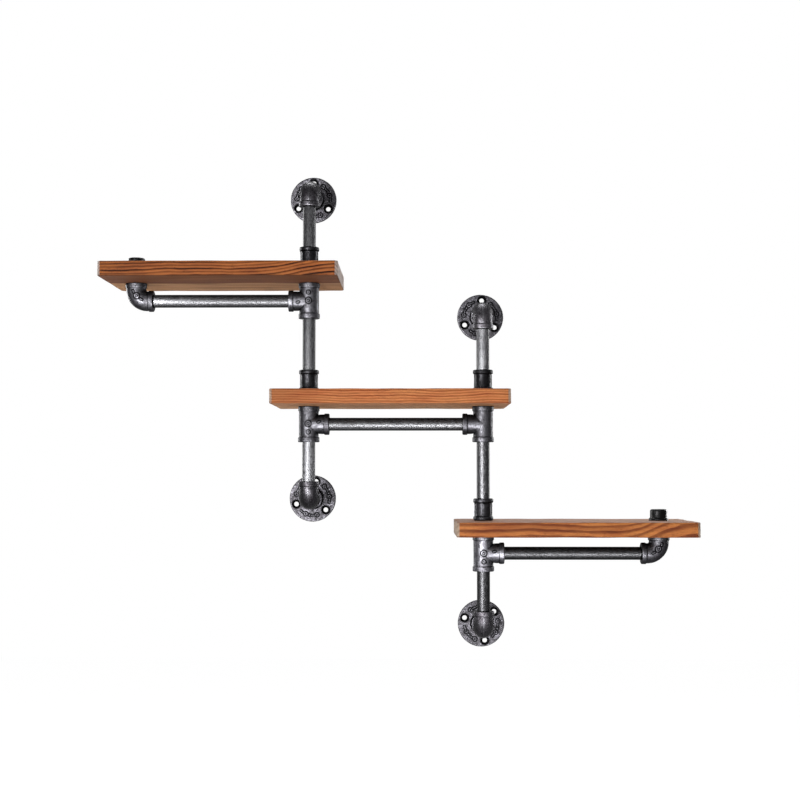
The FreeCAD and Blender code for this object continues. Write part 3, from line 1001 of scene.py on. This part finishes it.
coupling = {
    "bodyRadius": 13.9,
    "bandRadius": 16.4, "bandWidth": 7.0, "bandRound": 2.2, "neckRound": 1.0,
    "boreRadius": 10.7, "leadIn": 0.8,
    "ribWidth": 3.0, "ribHeight": 0.8, "ribSlope": 0.25,
    "steps": 96, "gridStep": 1.2,
    "lumpDepth": 0.30, "lumpSize": 4.5, "firstSeed": 40,
    # per-piece brightness: partly own finish, partly painted light and shade
    "tonesAndLight": {"upper_left": 0.20, "lower_left": 0.25, "upper_right": 0.18, "lower_right": 0.42},
}


def makeCoupling(length, seed):
    # stands on the origin, with a rib on each side
    size = coupling
    body, band, bore, leadIn = size["bodyRadius"], size["bandRadius"], size["boreRadius"], size["leadIn"]
    lower, upper = size["bandWidth"], length - size["bandWidth"]
    rounding, neck = size["bandRound"], size["neckRound"]
    form = turned([
        (bore, leadIn, 0), (bore + leadIn, 0, 0), (band, 0, rounding), (band, lower, rounding),
        (body, lower, neck), (body, upper, neck), (band, upper, rounding), (band, length, rounding),
        (bore + leadIn, length, 0), (bore, length - leadIn, 0),
    ], size["steps"], gridStep=size["gridStep"], boreRadius=bore)
    form.normal_update()
    ribFaces = []
    for face in form.faces:
        middle = face.calc_center_median()
        onBody = lower < middle.z < upper and middle.xy.length > body - 0.3 and abs(face.normal.z) < 0.5
        if onBody and abs(middle.y) < size["ribWidth"] / 2:
            ribFaces.append(face)
    bmesh.ops.inset_region(form, faces=ribFaces, thickness=size["ribSlope"], depth=size["ribHeight"],
                           use_even_offset=True)
    roughen(form, size["lumpDepth"], size["lumpSize"], seed + size["firstSeed"])
    markRelief(form)
    return form


def standingPlace(node):
    low, high = boxInMm(node)
    foot = (low + high) / 2
    foot.z = low.z
    return Matrix.Translation(foot), high.z - low.z


for seed, name in enumerate(crossings):
    place, height = standingPlace("coupling_" + name)
    addPiece(makeCoupling(height, seed), "coupling_" + name, place, fittingIron, "fitting_iron",
             coupling["tonesAndLight"][name])
print("couplings:", len(crossings))


# ---- caps

cap = {
    "bodyRadius": 13.9, "topRound": 3.0,
    "footRadius": 15.9, "footEdge": 3.3, "footHeight": 4.5,
    "boreRadius": 10.7, "boreDepth": 14.0, "leadIn": 0.8,
    "steps": 80, "gridStep": 1.3,
    "lumpDepth": 0.12, "lumpSize": 6.0, "firstSeed": 60,
    "tone": 0.5,
}


def makeCap(height, seed):
    size = cap
    body, bore, leadIn = size["bodyRadius"], size["boreRadius"], size["leadIn"]
    form = turned([
        (0, size["boreDepth"], 0), (bore, size["boreDepth"], 0), (bore, leadIn, 0), (bore + leadIn, 0, 0),
        (size["footRadius"], 0, 0.4), (size["footRadius"], size["footEdge"], 0.8),
        (body + 0.5, size["footHeight"], 0.4), (body, size["footHeight"] + 0.5, 0.3),
        (body, height, size["topRound"]), (0, height, 0),
    ], size["steps"], closed=False, gridStep=size["gridStep"], boreRadius=bore)
    inBore = form.verts.layers.int["bore"]
    for vert in form.verts:
        if vert.co.z > height - 0.01:      # the closed top lies over the bore and is skin as well
            vert[inBore] = 0
    roughen(form, size["lumpDepth"], size["lumpSize"], seed + size["firstSeed"])
    markRelief(form)
    return form


for seed, name in enumerate(("top", "bottom")):
    place, height = standingPlace("cap_" + name)
    addPiece(makeCap(height, seed), "cap_" + name, place, capIron, "cap_iron", cap["tone"])
print("caps: 2")


# ---- wall flanges

flange = {
    "radius": 39.5, "thickness": 5.5, "edgeRound": 1.8, "backRound": 0.5,
    "height": 17.0,
    "hubRadius": 17.0, "hubFootRound": 3.0, "hubMouthRound": 1.3,
    "boreRadius": 10.7, "leadIn": 0.8,
    "steps": 240, "gridStep": 0.9,
    "screwCircle": 29.5, "screwCount": 3, "holeRadius": 4.0, "sinkRadius": 7.3, "sinkDepth": 2.4,
    "holeTurns": {"upper_left": 89, "lower_left": 79, "upper_right": 85, "lower_right": 42},
    "holeSteps": 48, "overcut": 0.8,
    "paintedShadeReach": 1.6, "paintedShadeFade": 4.0,       # painted shade round the screw holes: how far past the countersink's edge, and how softly it ends
    "lumpDepth": 0.20, "lumpSize": 5.0, "firstSeed": 80,
    "markHeight": 0.7, "markCircle": 28.6,
    "marks": [("bar", 6.5, -27), ("ring", 6.0, -13), ("pip", 3.0, 0), ("bar", 6.5, 12), ("ring", 6.0, 26)],
    # per-piece brightness: partly own finish, partly painted light and shade
    "tonesAndLight": {"upper_left": 1.7, "lower_left": 1.15, "upper_right": 1.3, "lower_right": 0.95},
}


def makeFlange(holeTurn, seed):
    # lies on the wall at z = 0 and faces +Z; X is to the right as the room sees it
    size = flange
    bore, leadIn, thickness = size["boreRadius"], size["leadIn"], size["thickness"]
    form = turned([
        (bore, leadIn, 0), (bore + leadIn, 0, 0), (size["radius"], 0, size["backRound"]),
        (size["radius"], thickness, size["edgeRound"]),
        (size["hubRadius"], thickness, size["hubFootRound"]),
        (size["hubRadius"], size["height"], size["hubMouthRound"]),
        (bore + leadIn, size["height"], 0), (bore, size["height"] - leadIn, 0),
    ], size["steps"], gridStep=size["gridStep"], boreRadius=bore)
    roughen(form, size["lumpDepth"], size["lumpSize"], seed + size["firstSeed"])

    def onPlate(radius, degrees):
        return Vector((math.cos(math.radians(degrees)), math.sin(math.radians(degrees)), 0)) * radius

    marks, holes, cutters, overcut = [], [], [], size["overcut"]
    for turn in range(size["screwCount"]):
        holeAngle = holeTurn + turn * 360 / size["screwCount"]
        holes.append(onPlate(size["screwCircle"], holeAngle))
        for kind, length, swing in size["marks"]:
            markAngle = holeAngle + 180 / size["screwCount"] + swing
            spot = onPlate(size["markCircle"], markAngle)
            marks.append((kind, length, spot.x, spot.y, markAngle + 90))     # bars lie along the circle
    form, points = castMarks(form, marks, [lambda x, y, rise: Vector((x, y, thickness + rise))],
                             size["markHeight"])
    for hole in holes:
        cutter = turned([
            (0, -1, 0), (size["holeRadius"], -1, 0), (size["holeRadius"], thickness - size["sinkDepth"], 0),
            (size["sinkRadius"], thickness, 0), (size["sinkRadius"] + overcut, thickness + overcut, 0),
            (0, thickness + overcut, 0),
        ], size["holeSteps"], closed=False)
        bmesh.ops.translate(cutter, verts=cutter.verts, vec=hole)
        cutters.append(cutter)
    form = combined(form, joined(cutters), "DIFFERENCE")
    markRelief(form, markPoints=points)
    hollowShade = form.verts.layers.float["hollowShade"]
    # painted shade round each countersink
    paintedShadeEdge = size["sinkRadius"] + size["paintedShadeReach"]
    for vert in form.verts:
        fromHole = min((vert.co.xy - hole.xy).length for hole in holes)
        if vert.co.z > 0.5:
            vert[hollowShade] = max(vert[hollowShade], min(1.0, (paintedShadeEdge - fromHole) / size["paintedShadeFade"]))
    return form


for seed, name in enumerate(crossings):
    node = "wall_flange_" + name
    centre = centreOf(node)
    centre.y = farSide(node, toWall)
    place = frameAt(centre, right, up, toRoom)
    form = makeFlange(flange["holeTurns"][name], seed)
    addPiece(form, node, place, flangeIron, "flange_iron", flange["tonesAndLight"][name])
print("wall flanges:", len(crossings))


# ---- boards

board = {
    "cornerChamfer": 5.0,
    "arris": 1.2,
    "gridStep": 6.0,
    "holeRadius": 11.5,
    "waveDepth": 0.5, "waveSize": 45.0, "waveReach": 16.0, "waveLean": 0.35,
    "slots": {"top": "pine_dark", "middle": "pine", "bottom": "pine"},
}


def makeBoard(size, holes, seed):
    # centred on the origin
    form = bmesh.new()
    bmesh.ops.create_cube(form, size=1.0)
    bmesh.ops.scale(form, vec=size, verts=form.verts)
    standing = [edge for edge in form.edges if abs(edge.verts[0].co.z - edge.verts[1].co.z) > 1]
    bevelled(form, standing, board["cornerChamfer"], 1)
    bevelled(form, form.edges[:], board["arris"], 3)
    gridded(form, size, board["gridStep"])
    form.normal_update()
    shift = Vector((seed * 11.0, seed * 3.0, seed * 7.0))
    half = size / 2
    for vert in form.verts:
        inset = min(half.x - abs(vert.co.x), half.y - abs(vert.co.y))
        share = max(0.0, 1 - inset / board["waveReach"])
        swell = noise.noise(vert.co / board["waveSize"] + shift) - board["waveLean"]
        vert.co += vert.normal * board["waveDepth"] * share * min(0.0, swell)
    cutters = []
    for hole in holes:
        cutter = bmesh.new()
        bmesh.ops.create_cone(cutter, cap_ends=True, segments=64, radius1=board["holeRadius"],
                              radius2=board["holeRadius"], depth=size.z + 4)
        bmesh.ops.translate(cutter, verts=cutter.verts, vec=hole)
        cutters.append(cutter)
    form = combined(form, joined(cutters), "DIFFERENCE")
    markRelief(form)
    return form


for seed, level in enumerate(levels):
    node = "shelf_board_" + level
    low, high = boxInMm(node)
    centre = (low + high) / 2
    holes = []
    for pipeNode in pipeNodes:
        pipeLow, pipeHigh = boxInMm(pipeNode)
        if "board_nipple" in pipeNode and pipeLow.z < centre.z < pipeHigh.z:
            axisPoint = (pipeLow + pipeHigh) / 2
            if low.x < axisPoint.x < high.x:
                holes.append(Vector((axisPoint.x, axisPoint.y, centre.z)) - centre)
    addPiece(makeBoard(high - low, holes, seed), node, Matrix.Translation(centre),
             makeWood(level, centre * mm), board["slots"][level])
print("boards:", len(levels))
